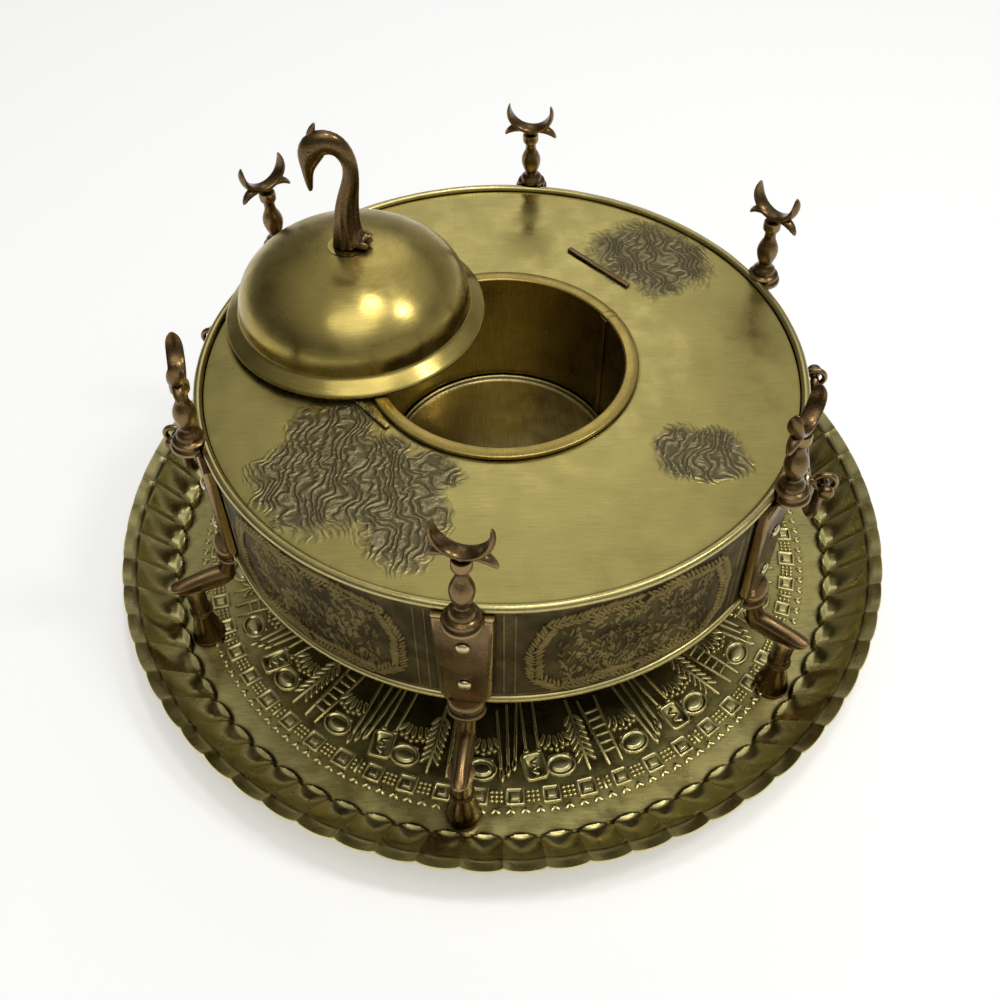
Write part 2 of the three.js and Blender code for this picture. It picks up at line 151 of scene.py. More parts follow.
def turned(bm, profile, steps):
    """Spins (radius, height) pairs a full turn about Z and closes the seam and the poles."""
    verts = [bm.verts.new((r, 0, z)) for r, z in profile]
    edges = [bm.edges.new(pair) for pair in zip(verts, verts[1:])]
    bmesh.ops.spin(bm, geom=verts + edges, cent=(0, 0, 0), axis=(0, 0, 1), angle=2 * math.pi,
                   steps=steps, use_merge=True)
    bmesh.ops.remove_doubles(bm, verts=bm.verts, dist=0.0005)
    bmesh.ops.recalc_face_normals(bm, faces=bm.faces)


def crisp(bm, degrees):
    """Marks the edges that turn more than this as sharp."""
    for edge in bm.edges:
        edge.smooth = edge.calc_face_angle(0) < math.radians(degrees)


def piece(bm, name, material, body, nodes):
    """A finished mesh in millimetres becomes a smooth shaded piece that rides on its body."""
    bmesh.ops.scale(bm, vec=(MM, MM, MM), verts=bm.verts)
    mesh = bpy.data.meshes.new(name)
    bm.to_mesh(mesh)
    bm.free()
    mesh.polygons.foreach_set("use_smooth", [True] * len(mesh.polygons))
    mesh.materials.append(material)
    made = bpy.data.objects.new(name, mesh)
    bpy.context.scene.collection.objects.link(made)
    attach(made, body)
    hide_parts(*nodes)
    return made


def ramp(material, value, stops):
    """A colour ramp of (position, grey or colour) stops."""
    made = add_node(material, "ValToRGB", {"Fac": value})
    marks = made.color_ramp.elements
    while len(marks) < len(stops):
        marks.new(0.5)
    for mark, (position, colour) in zip(marks, stops):
        mark.position = position
        grey = isinstance(colour, (int, float))
        mark.color = (colour, colour, colour, 1) if grey else (*colour, 1)
    return made.outputs["Color"]


def mixed(material, amount, a, b, mode="MIX"):
    """One colour over another, by this amount."""
    made = add_node(material, "Mix", {0: amount, 6: a, 7: b}, data_type="RGBA", blend_type=mode)
    return made.outputs[2]


def grain(material, scale, detail=4, stretch=(1, 1, 1), distortion=0.0):
    """Noise on object coordinates, stretched along the given axes."""
    place = add_node(material, "TexCoord").outputs["Object"]
    spread = add_node(material, "Mapping", {"Vector": place, "Scale": stretch}).outputs["Vector"]
    values = {"Vector": spread, "Scale": scale, "Detail": detail, "Distortion": distortion}
    return add_node(material, "TexNoise", values).outputs["Fac"]


def spun_grain(material, centre, scale):
    """Noise in fine rings about an upright axis, as spinning on a lathe leaves."""
    place = add_node(material, "TexCoord").outputs["Object"]
    values = {"Vector": place, "Location": (-centre[0], -centre[1], 0)}
    local = add_node(material, "Mapping", values).outputs["Vector"]
    x, y, z = add_node(material, "SeparateXYZ", {"Vector": local}).outputs
    flat = add_node(material, "CombineXYZ", {"X": x, "Y": y}).outputs[0]
    out = add_node(material, "VectorMath", {0: flat}, operation="LENGTH").outputs["Value"]
    turn = add_node(material, "Math", {0: y, 1: x}, operation="ARCTAN2").outputs[0]
    slow = add_node(material, "Math", {0: turn, 1: 0.004}, operation="MULTIPLY").outputs[0]
    rings = add_node(material, "CombineXYZ", {"X": out, "Y": slow, "Z": z}).outputs[0]
    return add_node(material, "TexNoise", {"Vector": rings, "Scale": scale, "Detail": 4}).outputs["Fac"]


def worn_metal(name, dark, body, bright, rough, stretch=(1, 1, 1), wear=0.6, hollow=0.003,
               dents=0.25, about=None, cloudy=0.72):
    """Metal with cloudy tone, a brushed grain, hollows darkened as patina and painted shade, and rubbed edges.
    """
    m = bpy.data.materials.new(name)
    m.use_nodes = True
    shader = m.node_tree.nodes["Principled BSDF"]
    shader.inputs["Metallic"].default_value = 1
    cloud = ramp(m, grain(m, 26, 6, distortion=0.6), [(0.32, 0), (0.68, 1)])
    brushed = spun_grain(m, about, 1100) if about else grain(m, 900, 3, stretch)
    deep = tuple(cloudy * c for c in body)
    tone = mixed(m, cloud, (*deep, 1), (*body, 1))
    tone = mixed(m, ramp(m, brushed, [(0.3, 0), (0.75, 0.5)]), tone, (*bright, 1))
    # Ambient occlusion lays the dark colour in hollows and between parts: partly patina, partly painted shade.
    patina_and_shade = add_node(m, "AmbientOcclusion", {"Distance": hollow}, samples=6).outputs["AO"]
    tone = mixed(m, ramp(m, patina_and_shade, [(0.35, 1), (0.92, 0)]), tone, (*dark, 1))
    point = add_node(m, "NewGeometry").outputs["Pointiness"]
    edge = ramp(m, point, [(0.515, 0), (0.56, wear)])
    tone = mixed(m, edge, tone, (*bright, 1))
    smears = grain(m, 60, 5)
    gloss = add_node(m, "MapRange", {0: smears, 1: 0.3, 2: 0.7, 3: rough - 0.06, 4: rough + 0.10})
    relief = add_node(m, "Bump", {"Strength": 0.12, "Distance": 0.0003, "Height": brushed}).outputs[0]
    dented = grain(m, 18, 2)
    relief = add_node(m, "Bump", {"Strength": dents, "Distance": 0.003, "Height": dented, "Normal": relief})
    m.node_tree.links.new(tone, shader.inputs["Base Color"])
    m.node_tree.links.new(gloss.outputs[0], shader.inputs["Roughness"])
    m.node_tree.links.new(relief.outputs[0], shader.inputs["Normal"])
    if about:
        shader.inputs["Anisotropic"].default_value = 0.6
        shader.inputs["Anisotropic Rotation"].default_value = 0.25
        tangent = add_node(m, "Tangent", direction_type="RADIAL", axis="Z").outputs[0]
        m.node_tree.links.new(tangent, shader.inputs["Tangent"])
    return m


def retone(material, amount, colour, mode="MIX"):
    """Lays one more colour over the metal's tone."""
    shader = material.node_tree.nodes["Principled BSDF"]
    before = shader.inputs["Base Color"].links[0].from_socket
    after = mixed(material, amount, before, colour, mode)
    material.node_tree.links.new(after, shader.inputs["Base Color"])


def raised(long, wide, sides, steps, corner=0.0):
    """A raised motif of these half sizes, drawn in and lifted by each (inset, lift) step."""
    bm = bmesh.new()
    if sides > 4:
        bmesh.ops.create_circle(bm, cap_ends=True, radius=1, segments=sides)
    else:
        bmesh.ops.create_grid(bm, x_segments=1, y_segments=1, size=1)
    bmesh.ops.scale(bm, vec=(wide, long, 1), verts=bm.verts)
    if corner:
        bmesh.ops.bevel(bm, geom=bm.verts[:], offset=corner, segments=2, profile=0.5,
                        affect="VERTICES", material=-1)
    top = list(bm.faces)[0]
    if top.normal.z < 0:
        top.normal_flip()
    for inset, lift in steps:
        top = bmesh.ops.extrude_discrete_faces(bm, faces=[top])["faces"][0]
        narrower = ((wide - inset) / wide, (long - inset) / long, 1)
        bmesh.ops.scale(bm, vec=narrower, verts=top.verts[:])
        bmesh.ops.translate(bm, vec=(0, 0, lift), verts=top.verts[:])
        long, wide = long - inset, wide - inset
    mesh = bpy.data.meshes.new("motif")
    bm.to_mesh(mesh)
    bm.free()
    return mesh


def put(bm, motif, matrix):
    """Adds a copy of a motif at a place."""
    copy = motif.copy()
    copy.transform(matrix)
    bm.from_mesh(copy)
    bpy.data.meshes.remove(copy)


SQUARE = raised(5.6, 5.6, 4, [(0.4, 1.3), (1.3, 0), (0.5, -1.1), (0.9, 0), (0.4, 1.0), (0.5, 0.1)],
                corner=0.8)
DOT = raised(1.3, 1.3, 8, [(0.3, 0.9), (0.4, 0.3)])
BERRY = raised(1.9, 1.9, 10, [(0.3, 0.9), (0.6, 0.6)])
BAR = raised(5, 1.0, 4, [(0.3, 1.1), (0.3, 0.2)])
REED = raised(21, 0.9, 4, [(0.3, 1.1), (0.3, 0.2)])
CHIP = raised(2.9, 1.3, 4, [(0.3, 0.8), (0.4, 0.2)])
LEAF = raised(4.2, 1.6, 8, [(0.3, 0.8), (0.5, 0.5)])
BOWL = raised(7.0, 8.6, 18, [(0.5, 1.3), (1.1, 0.2), (0.5, -1.0), (1.0, 0.1), (0.6, 0.8), (0.9, 0.2)])
PLAQUE = raised(8.4, 6.6, 4, [(0.5, 1.3), (1.2, 0), (0.5, -0.9)], corner=2.4)
RUNG = raised(0.9, 4.6, 4, [(0.3, 1.1), (0.3, 0.2)])

PLUMP, PROUD = 1.3, 1.2            # how wide and how tall the tray's motifs are struck
SUNK = 1.42                        # motifs start just inside the sheet's top face
SQUARES, SQUARES_R = 58, 233.4
CHEVRONS, CHEVRONS_R = 150, 243.6
MOTIFS, BUDS_R = 72, 158


def rotation(degrees, axis="Z"):
    return Matrix.Rotation(math.radians(degrees), 4, axis)


def on_tray(azimuth, radius, sideways=0.0, turn=0.0, size=1.0):
    """Where a motif lies on the tray's floor; its own Y points away from the middle."""
    spot = rotation(azimuth - 90) @ Matrix.Translation((PLUMP * sideways, radius, SUNK))
    return spot @ rotation(turn) @ Matrix.Diagonal((PLUMP * size, PLUMP * size, PROUD, 1))


def urn(bm, azimuth, dice):
    put(bm, BOWL, on_tray(azimuth, 214))
    put(bm, RUNG, on_tray(azimuth, 206.6, size=1.3))
    put(bm, RUNG, on_tray(azimuth, 221.2, size=0.9))
    for k in range(-2, 3):
        put(bm, BERRY, on_tray(azimuth, 202 - 1.4 * abs(k), 3.1 * k, size=0.8))
        put(bm, LEAF, on_tray(azimuth, 195.5 - 1.2 * abs(k), 3.4 * k, -14 * k + dice.uniform(-6, 6)))


def reeds(bm, azimuth, dice):
    for k in (-1, 0, 1):
        lean = 3 * k + dice.uniform(-2, 2)
        put(bm, REED, on_tray(azimuth, 190 + 4 * k, 4.6 * k, lean))
        put(bm, LEAF, on_tray(azimuth, 214 + 4 * k, 4.6 * k - 1.2 * k, lean))


def plaque(bm, azimuth, dice):
    put(bm, PLAQUE, on_tray(azimuth, 212, turn=dice.uniform(-12, 12)))
    for k in range(4):
        put(bm, CHIP, on_tray(azimuth, 208 + 2.8 * k, 0, 58 if k % 2 else -58, 0.9))
    for k in (-1, 1):
        put(bm, BERRY, on_tray(azimuth, 200.5, 3.4 * k))
        put(bm, REED, on_tray(azimuth, 176, 3.4 * k, size=0.9))


def trellis(bm, azimuth, dice):
    for k in (-1, 1):
        put(bm, REED, on_tray(azimuth, 196, 4.4 * k, 2 * k))
    for k in range(6):
        put(bm, RUNG, on_tray(azimuth, 180 + 6.4 * k, 0, dice.uniform(-4, 4)))


def sprig(bm, azimuth, _dice):
    put(bm, REED, on_tray(azimuth, 194, size=1.05))
    for k in range(7):
        for side in (-1, 1):
            put(bm, LEAF, on_tray(azimuth, 182 + 5 * k, 3.2 * side, -38 * side, 0.9))


def frieze(bm):
    """Rings of squares, chevrons, standing motifs and buds, from the wall inwards."""
    dice = random.Random(7)
    for k in range(SQUARES):
        azimuth = -88 + 360 / SQUARES * k
        put(bm, SQUARE, on_tray(azimuth, SQUARES_R, size=dice.uniform(0.92, 1.02)))
        for j, gap in enumerate((2.3, 3.1, 3.9)):
            if k % 3 == 2 and j == 1:
                put(bm, BAR, on_tray(azimuth + gap, SQUARES_R, size=0.9))
                continue
            for row in (-3.2, 0, 3.2):
                put(bm, DOT, on_tray(azimuth + gap, SQUARES_R + row))
    for k in range(CHEVRONS):
        for side in (-1, 1):
            put(bm, CHIP, on_tray(360 / CHEVRONS * k, CHEVRONS_R, 0.9 * side, -40 * side, 0.8))
    apart = 360 / MOTIFS
    for k in range(MOTIFS):
        (urn, reeds, plaque, urn, sprig, trellis)[k % 6](bm, -94 + apart * k, dice)
    for k in range(MOTIFS):
        put(bm, BERRY, on_tray(apart * k, BUDS_R, size=0.9))
        put(bm, LEAF, on_tray(apart * (k + 0.5), BUDS_R, 0, 60))


def scooped(bm):
    """Shapes the flat disc into the fluted wall and the wavy lip, and marks where shade is painted."""
    painted_shade = bm.verts.layers.float.new("painted_shade")
    for v in bm.verts:
        r = math.hypot(v.co.x, v.co.y)
        turn = math.atan2(v.co.y, v.co.x)
        into = abs(math.sin(turn * FLUTES / 2)) ** 0.62
        rise = along(CREST, r) * (1 - into) + along(HOLLOW, r) * into
        shrink = 1 - LIP_WAVE / 300 * (1 - into) * max(0, (r - LIP_R) / LIP_RUN)
        v.co.x, v.co.y = v.co.x * shrink, v.co.y * shrink
        arch = ARCH_R + ARCH_SWING * (1 - into)
        step = min(1, max(0, (r - arch + STEP_BEFORE) / STEP_RUN))
        v.co.z = FLOOR_TOP + (rise - FLOOR_TOP) * step * step * (3 - 2 * step)
        # Painted shade: a dark line at the foot of each scoop's step, one where the wall meets the lip, and a
        # little inside the scoops.
        foot_shade = math.exp(-((r - arch + 1.8) / 1.3) ** 2)
        lip_shade = 0.8 * math.exp(-(r - WALL_TOP_R) ** 2)
        scoop_shade = into * max(0, 1 - abs(r - 270) / 17) if r > 259 else 0
        v[painted_shade] = min(1, foot_shade + lip_shade + 0.08 * scoop_shade)


tray = bmesh.new()
turned(tray, [(r, FLOOR_TOP) for r in TRAY_ROWS], FLUTES * 10)
scooped(tray)
bmesh.ops.recalc_face_normals(tray, faces=tray.faces)
if sum(f.normal.z for f in tray.faces) < 0:
    bmesh.ops.reverse_faces(tray, faces=tray.faces)
bmesh.ops.solidify(tray, geom=tray.faces[:], thickness=TRAY_SHEET)
crisp(tray, 20)
frieze(tray)

tray_brass = worn_metal("tray_brass", (0.020, 0.015, 0.006), (0.44, 0.38, 0.132), (0.68, 0.60, 0.28), 0.27,
                        stretch=(0.12, 1, 1), wear=0.9, hollow=0.0045)
# The painted shade darkens the tray's colour along the scoops' feet, at the top of the wall and in the scoops.
painted_shade_mask = add_node(tray_brass, "Attribute", attribute_name="painted_shade").outputs["Fac"]
retone(tray_brass, ramp(tray_brass, painted_shade_mask, [(0.1, 0), (0.95, 0.92)]), (0.05, 0.04, 0.018, 1))
middle_of = add_node(tray_brass, "TexCoord").outputs["Object"]
reach = add_node(tray_brass, "VectorMath", {0: middle_of}, operation="LENGTH").outputs["Value"]
# Painted shade: the floor darkens from 236 mm inwards, towards and under the drum.
drum_shade_painted = add_node(tray_brass, "MapRange", {0: reach, 1: 0.15, 2: 0.236, 3: 0.62, 4: 0.0}).outputs[0]
retone(tray_brass, drum_shade_painted, (0.10, 0.083, 0.034, 1))
# Painted highlight: the scoops' walls are lightened from 262 mm outwards, except where shade is painted.
flank = add_node(tray_brass, "MapRange", {0: reach, 1: 0.262, 2: 0.272, 3: 0, 4: 0.35}).outputs[0]
unshaded = add_node(tray_brass, "MapRange", {0: painted_shade_mask, 1: 0.1, 2: 0.5, 3: 1, 4: 0}).outputs[0]
painted_flute_light = add_node(tray_brass, "Math", {0: flank, 1: unshaded}, operation="MULTIPLY").outputs[0]
retone(tray_brass, painted_flute_light, (0.70, 0.63, 0.32, 1))
upright = add_node(tray_brass, "SeparateXYZ", {"Vector": middle_of}).outputs["Z"]
crown = add_node(tray_brass, "MapRange", {0: upright, 1: 0.0019, 2: 0.0026, 3: 0, 4: 0.85}).outputs[0]
inner = add_node(tray_brass, "MapRange", {0: reach, 1: 0.250, 2: 0.256, 3: 1, 4: 0}).outputs[0]
rubbed = add_node(tray_brass, "Math", {0: crown, 1: inner}, operation="MULTIPLY").outputs[0]
retone(tray_brass, rubbed, (0.64, 0.56, 0.26, 1))
piece(tray, "tray_sheet", tray_brass, "tray", ["tray"])

# ---- Drum wall ------------------------------------------------------------------------------
# A strip of thin brass rolled into a ring and chased from behind: six panels of laurel and
# mottled foliage, each between two ruled lines beside a leg. It is left dark.

WALL = 210.5
DEGREE_MM = 3.67                   # the length of one degree round the wall
PANELS = [-96.2 + 60 * k for k in range(6)]


def on_wall(azimuth, height, turn=0.0, size=1.0, deep=1.0):
    """Where a motif lies on the wall; its own Y points up."""
    spot = rotation(azimuth) @ Matrix.Translation((WALL - 0.12, 0, height))
    face_out = Matrix(((0, 0, 1, 0), (1, 0, 0, 0), (0, 1, 0, 0), (0, 0, 0, 1)))
    return spot @ face_out @ rotation(turn) @ Matrix.Diagonal((size, size, deep, 1))


def emboss(material, height, strength, distance):
    """Lays one more bump over the metal's own."""
    shader = material.node_tree.nodes["Principled BSDF"]
    under = shader.inputs["Normal"].links[0].from_socket
    values = {"Strength": strength, "Distance": distance, "Height": height, "Normal": under}
    over = add_node(material, "Bump", values).outputs[0]
    material.node_tree.links.new(over, shader.inputs["Normal"])


RULE = raised(43.5, 0.7, 4, [(0.3, 0.6), (0.2, 0.1)])
BLADE = raised(4.6, 1.5, 8, [(0.3, 0.8), (0.5, 0.5)])
BOSS = raised(3.8, 3.0, 12, [(0.5, 0.8), (0.9, 0.5), (0.7, 0.1)])
PETAL = raised(2.2, 1.3, 8, [(0.3, 0.7), (0.4, 0.4)])


def laurel(bm, azimuth, path, dice):
    """Pairs of blades that splay from a stem along (across in degrees, height) points."""
    for (a0, h0), (a1, h1) in zip(path, path[1:]):
        run = math.hypot((a1 - a0) * DEGREE_MM, h1 - h0)
        heading = math.degrees(math.atan2((a0 - a1) * DEGREE_MM, h1 - h0))
        count = max(2, round(run / 3.4))
        for j in range(count):
            t = j / count
            spot = (azimuth + a0 + (a1 - a0) * t, h0 + (h1 - h0) * t)
            for side in (-1, 1):
                shift = 0.75 * side * math.cos(math.radians(heading))
                lift = 2.6 * side * math.sin(math.radians(heading))
                splay = heading - side * dice.uniform(34, 56)
                put(bm, BLADE, on_wall(spot[0] + shift, spot[1] + lift, splay, dice.uniform(0.8, 1.12)))


def flower(bm, azimuth, height, size):
    put(bm, BERRY, on_wall(azimuth, height, 0, 0.7 * size))
    for j in range(6):
        a = math.radians(60 * j)
        spot = (azimuth + 0.75 * size * math.cos(a), height + 2.7 * size * math.sin(a))
        put(bm, PETAL, on_wall(*spot, 60 * j - 90, size))


FOLIAGE = 430                      # loose blades tried in one panel


def panel(bm, azimuth, dice):
    """One panel: ruled lines, a laurel frame, a row of flowers, bosses and mottled foliage."""
    for across in (6.4, 8.3, 51.7, 53.6):
        put(bm, RULE, on_wall(azimuth + across, 145))
    for branch in ([(16, 105), (11.6, 120), (11.4, 150), (14, 174)], [(14, 176), (23, 183), (30, 181)],
                   [(17, 105), (24, 109), (30, 106)]):
        laurel(bm, azimuth, branch, dice)
        laurel(bm, azimuth, [(60 - across, height) for across, height in branch], dice)
    for across in (22, 26, 30, 34, 38):
        flower(bm, azimuth + across, 174 - 0.16 * abs(across - 30), dice.uniform(0.9, 1.2))
    for across in (19, 24.5, 35.5, 41):
        for height in (122, 138, 154):
            nudged = azimuth + across + dice.uniform(-0.6, 0.6)
            put(bm, BOSS, on_wall(nudged, height, dice.uniform(-20, 20), 0.8))
    for _ in range(FOLIAGE):
        spot = (azimuth + dice.uniform(15.5, 44.5), dice.uniform(110, 170))
        if abs(noise.noise(Vector((spot[0] * 0.22, spot[1] * 0.07, 3)))) > 0.06:
            put(bm, BLADE, on_wall(*spot, dice.uniform(-60, 60), dice.uniform(0.5, 0.85), 0.6))


wall = bmesh.new()
turned(wall, [(209, 98.5), (WALL, 98.5), (WALL, 100.2), (211, 101), (WALL, 101.8), (WALL, 188.4),
              (211, 189.2), (WALL, 190), (WALL, 191.7), (209, 191.7), (209, 98.5)], 240)
dice = random.Random(11)
for azimuth in PANELS:
    panel(wall, azimuth, dice)
crisp(wall, 55)

band_brass = worn_metal("band_brass", (0.010, 0.007, 0.003), (0.085, 0.063, 0.024), (0.30, 0.235, 0.10),
                        0.40, wear=1.0, hollow=0.006, dents=0.6)
smoke = ramp(band_brass, grain(band_brass, 30, 5, distortion=1.2), [(0.42, 0.75), (0.62, 0)])
retone(band_brass, smoke, (0.035, 0.027, 0.012, 1))
spot = add_node(band_brass, "TexCoord").outputs["Object"]
flat = add_node(band_brass, "VectorMath", {0: spot, 1: (1, 1, 0)}, operation="MULTIPLY").outputs[0]
out = add_node(band_brass, "VectorMath", {0: flat}, operation="LENGTH").outputs["Value"]
# The relief standing proud of the wall is painted lighter, as rubbed wear and as a painted highlight.
proud_rub_and_highlight = add_node(band_brass, "MapRange", {0: out, 1: 0.2108, 2: 0.2117, 3: 0, 4: 0.7}).outputs[0]
retone(band_brass, proud_rub_and_highlight, (0.30, 0.225, 0.075, 1))
stipple = add_node(band_brass, "TexVoronoi", {"Scale": 520}).outputs["Distance"]
emboss(band_brass, stipple, 0.55, 0.0006)
piece(wall, "drum_wall_chased", band_brass, "brazier", ["drum_wall"])

# ---- Drum rims ------------------------------------------------------------------------------
# Each edge of the drum is rolled over a wire, so it ends in a round bead. The beads are rubbed
# bright, and a little uneven from the hand rolling.

BEAD, BEAD_R = 210.3, 3.1


def edges_of(verts):
    """Each edge at these vertices once, always in the same order."""
    return list(dict.fromkeys(e for v in verts for e in v.link_edges))


def wire_ring(bm, around, radius, height, sides, steps):
    """A ring of round wire that lies flat about the Z axis."""
    upright = Matrix.Translation((around, 0, height)) @ rotation(90, "X")
    loop = bmesh.ops.create_circle(bm, radius=radius, segments=sides, matrix=upright)["verts"]
    bmesh.ops.spin(bm, geom=loop + edges_of(loop), cent=(0, 0, 0), axis=(0, 0, 1), angle=2 * math.pi,
                   steps=steps, use_merge=True)
    bmesh.ops.remove_doubles(bm, verts=bm.verts, dist=0.001)
    bmesh.ops.recalc_face_normals(bm, faces=bm.faces)


def bead(name, node, height):
    """One rolled edge of the drum, a little out of round."""
    bm = bmesh.new()
    wire_ring(bm, BEAD, BEAD_R, height, 14, 260)
    for v in bm.verts:
        uneven = noise.noise(v.co * 0.03) - 0.4
        v.co.x, v.co.y = v.co.x * (1 + uneven * 0.0008), v.co.y * (1 + uneven * 0.0008)
        v.co.z += 0.2 * noise.noise(v.co * 0.045)
    piece(bm, name, rim_brass, "brazier", [node])


rim_brass = worn_metal("rim_brass", (0.05, 0.038, 0.014), (0.49, 0.405, 0.145), (0.70, 0.60, 0.28), 0.27,
                       stretch=(1, 1, 0.2), wear=0.2, hollow=0.002, dents=0.35)
bead("top_bead", "top_rim", 195.1)
bead("bottom_bead", "bottom_rim", 95.1)

# ---- Top and bottom plates ------------------------------------------------------------------
# Flat brass sheets let in between the beads. The top one is brushed across, and worn patches of
# feathery chasing on it have gone grey.

PLATE_R = 206.8
PLATE_TOP = 0.1944                 # metres, as the patches and the object coordinates are
PATCHES = [
    # middle x, y; half length, half width; turn in degrees
    (-0.106, -0.108, 0.056, 0.048, 25),
    (-0.062, -0.138, 0.046, 0.030, 100),
    (-0.110, -0.072, 0.030, 0.030, 0),
    (-0.048, -0.104, 0.030, 0.016, -12),
    (0.116, 0.118, 0.050, 0.040, -40),
    (0.128, -0.090, 0.036, 0.026, -20),
]


def plate(name, node, inner, low, high, material):
    """A flat ring from an inner radius out to the drum's wall, with eased edges."""
    bm = bmesh.new()
    turned(bm, [(inner, low), (PLATE_R - 0.4, low), (PLATE_R, low + 0.4), (PLATE_R, high - 0.5),
                (PLATE_R - 0.5, high), (198, high), (150, high), (inner + 0.4, high),
                (inner, high - 0.4), (inner, low)], 240)
    crisp(bm, 40)
    piece(bm, name, material, "brazier", [node])


plate_brass = worn_metal("plate_brass", (0.05, 0.038, 0.014), (0.47, 0.388, 0.125), (0.58, 0.49, 0.18),
                         0.27, stretch=(0.05, 1, 1), wear=0.0, hollow=0.003, dents=0.22, cloudy=0.86)
place = add_node(plate_brass, "TexCoord").outputs["Object"]
ragged = add_node(plate_brass, "TexNoise", {"Vector": place, "Scale": 48, "Detail": 2.5}).outputs["Fac"]
chased = None
for x, y, long, wide, turn in PATCHES:
    values = {"Vector": place, "Location": (x, y, PLATE_TOP),
              "Rotation": (0, 0, math.radians(turn)), "Scale": (long, wide, 0.05)}
    local = add_node(plate_brass, "Mapping", values, vector_type="TEXTURE").outputs["Vector"]
    far = add_node(plate_brass, "VectorMath", {0: local}, operation="LENGTH").outputs["Value"]
    rough_edge = add_node(plate_brass, "Math", {0: ragged, 1: 0.9, 2: far},
                          operation="MULTIPLY_ADD").outputs[0]
    inside = add_node(plate_brass, "MapRange", {0: rough_edge, 1: 1.22, 2: 1.52, 3: 1.0, 4: 0.0}).outputs[0]
    chased = inside if chased is None else add_node(
        plate_brass, "Math", {0: chased, 1: inside}, operation="MAXIMUM").outputs[0]
swirl = add_node(plate_brass, "TexNoise", {"Vector": place, "Scale": 38, "Detail": 1.5}).outputs["Color"]
drifted = add_node(plate_brass, "VectorMath", {0: swirl, 1: (0.05, 0.05, 0.05), 2: place},
                   operation="MULTIPLY_ADD").outputs[0]
strokes = add_node(plate_brass, "TexWave", {"Vector": drifted, "Scale": 58, "Distortion": 5, "Detail": 3,
                                            "Detail Scale": 2.2}).outputs["Fac"]
crumbs = add_node(plate_brass, "TexNoise", {"Vector": place, "Scale": 260, "Detail": 4}).outputs["Fac"]
feathers = add_node(plate_brass, "Math", {0: strokes, 1: crumbs}, operation="MULTIPLY").outputs[0]
grey = mixed(plate_brass, feathers, (0.15, 0.125, 0.062, 1), (0.46, 0.39, 0.205, 1))
retone(plate_brass, chased, grey)
cuts = add_node(plate_brass, "Math", {0: feathers, 1: chased}, operation="MULTIPLY").outputs[0]
emboss(plate_brass, cuts, 0.8, 0.0016)
roughness = plate_brass.node_tree.nodes["Principled BSDF"].inputs["Roughness"]
values = {0: chased, 1: 0.18, 2: roughness.links[0].from_socket}
matt = add_node(plate_brass, "Math", values, operation="MULTIPLY_ADD").outputs[0]
plate_brass.node_tree.links.new(matt, roughness)
plate("top_plate_brushed", "top_plate", 88.4, 192.9, 194.4, plate_brass)

under_brass = worn_metal("under_brass", (0.03, 0.024, 0.01), (0.26, 0.21, 0.09), (0.45, 0.39, 0.2), 0.42,
                         wear=0)
plate("bottom_plate_sheet", "bottom_plate", 0.5, 94.4, 95.9, under_brass)

# ---- Plate strips ---------------------------------------------------------------------------
# Two short flat bars soldered on the top plate, as guides for the pot's lid. One has gone brown.

STRIPS = [((52.9, 126.8), (95.3, 80.8)), ((-100.5, -38.5), (-75.5, -66))]
STRIP_WIDE, STRIP_HIGH, STRIP_Z = 4, 2, 195.7


def moved(bm, matrix):
    bmesh.ops.transform(bm, matrix=matrix, verts=bm.verts)


bronze = worn_metal("cast_bronze", (0.010, 0.006, 0.003), (0.104, 0.060, 0.024), (0.34, 0.228, 0.102), 0.25,
                    wear=0.75, hollow=0.005, dents=0.35)
for k, (start, end) in enumerate(STRIPS):
    strip = bmesh.new()
    bmesh.ops.create_cube(strip, size=1)
    run = Vector(end) - Vector(start)
    bmesh.ops.scale(strip, vec=(run.length, STRIP_WIDE, STRIP_HIGH), verts=strip.verts)
    bmesh.ops.bevel(strip, geom=strip.edges[:], offset=0.55, segments=3, profile=0.5, affect="EDGES",
                    material=-1)
    long_edges = [e for e in strip.edges if e.calc_length() > 20]
    bmesh.ops.subdivide_edges(strip, edges=long_edges, cuts=12)
    for v in strip.verts:
        v.co.y += 0.3 * noise.noise(Vector((v.co.x * 0.12, 0, k)))
    spot = Matrix.Translation(((start[0] + end[0]) / 2, (start[1] + end[1]) / 2, STRIP_Z))
    moved(strip, spot @ Matrix.Rotation(math.atan2(run.y, run.x), 4, "Z"))
    crisp(strip, 50)
    node = f"plate_strip_{k + 1}"
    piece(strip, node + "_bar", (bronze, plate_brass)[k], "brazier", [node])

# ---- Fire pot -------------------------------------------------------------------------------
# A sleeve rolled from polished brass with its lap joint showing inside, a flange turned out over
# the plate, and a dished floor sprung in behind a bead.

POT_WALL = [(86.3, 96.3), (87.8, 96.3), (87.8, 195.3), (88.8, 196.4), (94.3, 196.4), (94.3, 194.8),
            (95.4, 194.8), (95.8, 195.3), (95.8, 197.2), (95.4, 197.7), (94.8, 197.9),
            (87.6, 197.9), (86.8, 197.6), (86.3, 196.9), (86.3, 196), (86.3, 150), (86.3, 96.3)]
POT_FLOOR = [(0, 96.3), (86, 96.3), (86, 99.4), (85.6, 100.4), (84.7, 100.8), (83.6, 100.6),
             (82.9, 99.8), (82.3, 98.6), (81.4, 97.9), (79, 97.8), (40, 97.8), (0, 97.8)]
LAP = 30                           # where the sleeve's ends overlap, in degrees
LAP_STRIPS = [((86, 0, 148.4), (1.5, 7.5, 95, 1)), ((91, 0, 197.85), (9.4, 7.5, 0.6, 1))]

